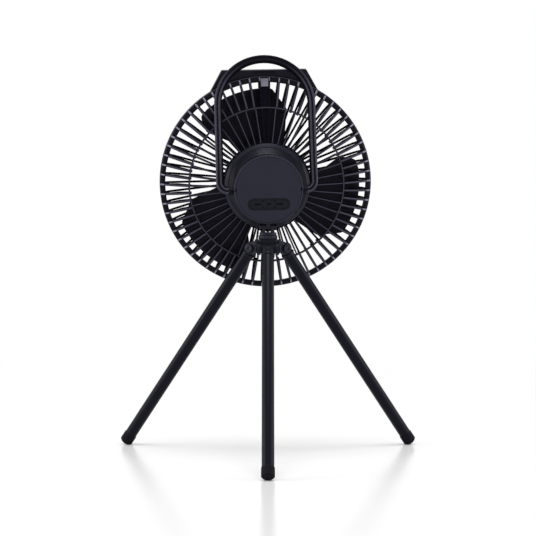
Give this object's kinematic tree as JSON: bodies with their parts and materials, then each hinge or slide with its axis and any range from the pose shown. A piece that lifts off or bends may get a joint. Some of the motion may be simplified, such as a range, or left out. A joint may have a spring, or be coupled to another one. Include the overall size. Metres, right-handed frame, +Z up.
{
  "type": "portable camping fan",
  "caption": "Rechargeable camping fan on a folding tripod: round ribbed guard, swept blades, drum-shaped rear housing with push buttons, tilting neck and arched carrying handle.",
  "frame": {"origin": "on the floor, under the middle of the whole fan's box", "axes": "+Z up, the fan blows towards +Y, the single rear leg points to -Y"},
  "size_m": [0.274, 0.2388, 0.3607],
  "materials": {
    "cast_hub": "matt black die cast",
    "leg_fitting": "matt black die cast",
    "leg_collar": "turned and anodised black",
    "leg_tube": "satin black anodised",
    "rubber_foot": "matt",
    "screw_black": "black oxide",
    "steel": "bright",
    "housing_plastic": "fine grain",
    "cover_plastic": "soft-touch",
    "bezel_plastic": "fine grain",
    "button_rubber": "matt",
    "light_pipe": "smoked",
    "grille_plastic": "fine grain",
    "badge_plastic": "satin",
    "blade_plastic": "smooth",
    "nut_plastic": "smooth",
    "handle_plastic": "fine grain",
    "board": "solder mask",
    "switch_metal": "bright",
    "tray_plastic": "plain",
    "cell_wrap": "foil pouch",
    "motor_iron": "laminated",
    "magnet": "plain",
    "copper": "enamelled wire"
  },
  "bodies": {
    "tripod": {"tripod_hub": "cast_hub", "leg_screws": "screw_black", "leg_nuts": "screw_black"},
    "thumb_screw": {"thumb_ring": "leg_collar", "thumb_stud": "steel"},
    "neck": {"neck": "cast_hub", "tilt_bolt": "screw_black", "tilt_nut": "screw_black", "tilt_washers": "steel", "tilt_plunger": "steel"},
    "head": {"tilt_bracket": "cast_hub", "bracket_screws": "screw_black", "housing": "housing_plastic", "rear_cover": "cover_plastic", "button_bezel": "bezel_plastic", "light_pipes": "light_pipe", "control_board": "board", "dome_switches": "switch_metal", "charging_socket": "steel", "battery_tray": "tray_plastic", "battery_cells": "cell_wrap", "motor_core": "motor_iron", "motor_windings": "copper", "motor_bearings": "steel", "rear_grille": "grille_plastic", "grille_screws": "screw_black", "grille_latch": "grille_plastic", "front_grille": "grille_plastic", "front_badge": "badge_plastic"},
    "rotor": {"rotor_shaft": "steel", "rotor_bell": "steel", "rotor_magnets": "magnet", "blade": "blade_plastic", "blade_nut": "nut_plastic"},
    "handle": {"handle": "handle_plastic", "handle_screws": "screw_black", "handle_washers": "steel"},
    "left_button": {"left_button": "button_rubber"},
    "middle_button": {"middle_button": "button_rubber"},
    "right_button": {"right_button": "button_rubber"},
    "port_flap": {"port_flap": "rubber_foot"},
    "rear_leg": {"rear_leg_fitting": "leg_fitting", "rear_leg_collar": "leg_collar", "rear_leg_tube": "leg_tube", "rear_leg_foot": "rubber_foot"},
    "left_leg": {"left_leg_fitting": "leg_fitting", "left_leg_collar": "leg_collar", "left_leg_tube": "leg_tube", "left_leg_foot": "rubber_foot"},
    "right_leg": {"right_leg_fitting": "leg_fitting", "right_leg_collar": "leg_collar", "right_leg_tube": "leg_tube", "right_leg_foot": "rubber_foot"}
  },
  "joints": [
    {"name": "rear_leg_fold", "type": "hinge", "parent": "tripod", "child": "rear_leg", "pos_m": [0, 0.02455, 0.18718], "axis": [1, 0, 0], "range_deg": [0, 36.5]},
    {"name": "left_leg_fold", "type": "hinge", "parent": "tripod", "child": "left_leg", "pos_m": [-0.0116, 0.04465, 0.18718], "axis": [-0.5, -0.866, 0], "range_deg": [0, 36.5]},
    {"name": "right_leg_fold", "type": "hinge", "parent": "tripod", "child": "right_leg", "pos_m": [0.0116, 0.04465, 0.18718], "axis": [-0.5, 0.866, 0], "range_deg": [0, 36.5]},
    {"name": "thumb_screw_turn", "type": "hinge", "parent": "tripod", "child": "thumb_screw", "pos_m": [0, 0.03795, 0.19548], "axis": [0, 0, -1], "range_deg": [0, 90]},
    {"name": "head_turn", "type": "hinge", "parent": "tripod", "child": "neck", "pos_m": [0, 0.03795, 0.19898], "axis": [0, 0, 1], "range_deg": [-19, 14]},
    {"name": "head_tilt", "type": "hinge", "parent": "neck", "child": "head", "pos_m": [0, 0.03795, 0.20608], "axis": [0.9985, 0.0541, 0], "range_deg": [-5.5, 45]},
    {"name": "blade_spin", "type": "hinge", "parent": "head", "child": "rotor", "pos_m": [-0.00228, 0.08002, 0.2453], "axis": [0.0538, -0.9939, -0.0958], "continuous": true},
    {"name": "handle_swing", "type": "hinge", "parent": "head", "child": "handle", "pos_m": [0.00013, 0.03628, 0.23907], "axis": [0.9985, 0.0524, 0.0174], "range_deg": [0, 110]},
    {"name": "left_button_press", "type": "slide", "parent": "head", "child": "left_button", "axis": [-0.0538, 0.9939, 0.0958], "range_m": [0, 0.0006], "stiffness_N_per_m": 1200},
    {"name": "middle_button_press", "type": "slide", "parent": "head", "child": "middle_button", "axis": [-0.0538, 0.9939, 0.0958], "range_m": [0, 0.0006], "stiffness_N_per_m": 1200},
    {"name": "right_button_press", "type": "slide", "parent": "head", "child": "right_button", "axis": [-0.0538, 0.9939, 0.0958], "range_m": [0, 0.0006], "stiffness_N_per_m": 1200},
    {"name": "port_flap_open", "type": "hinge", "parent": "head", "child": "port_flap", "pos_m": [0.02418, 0.03768, 0.22138], "axis": [0.0538, -0.9939, -0.0958], "range_deg": [0, 100], "stiffness_Nm_per_rad": 0.0005}
  ]
}
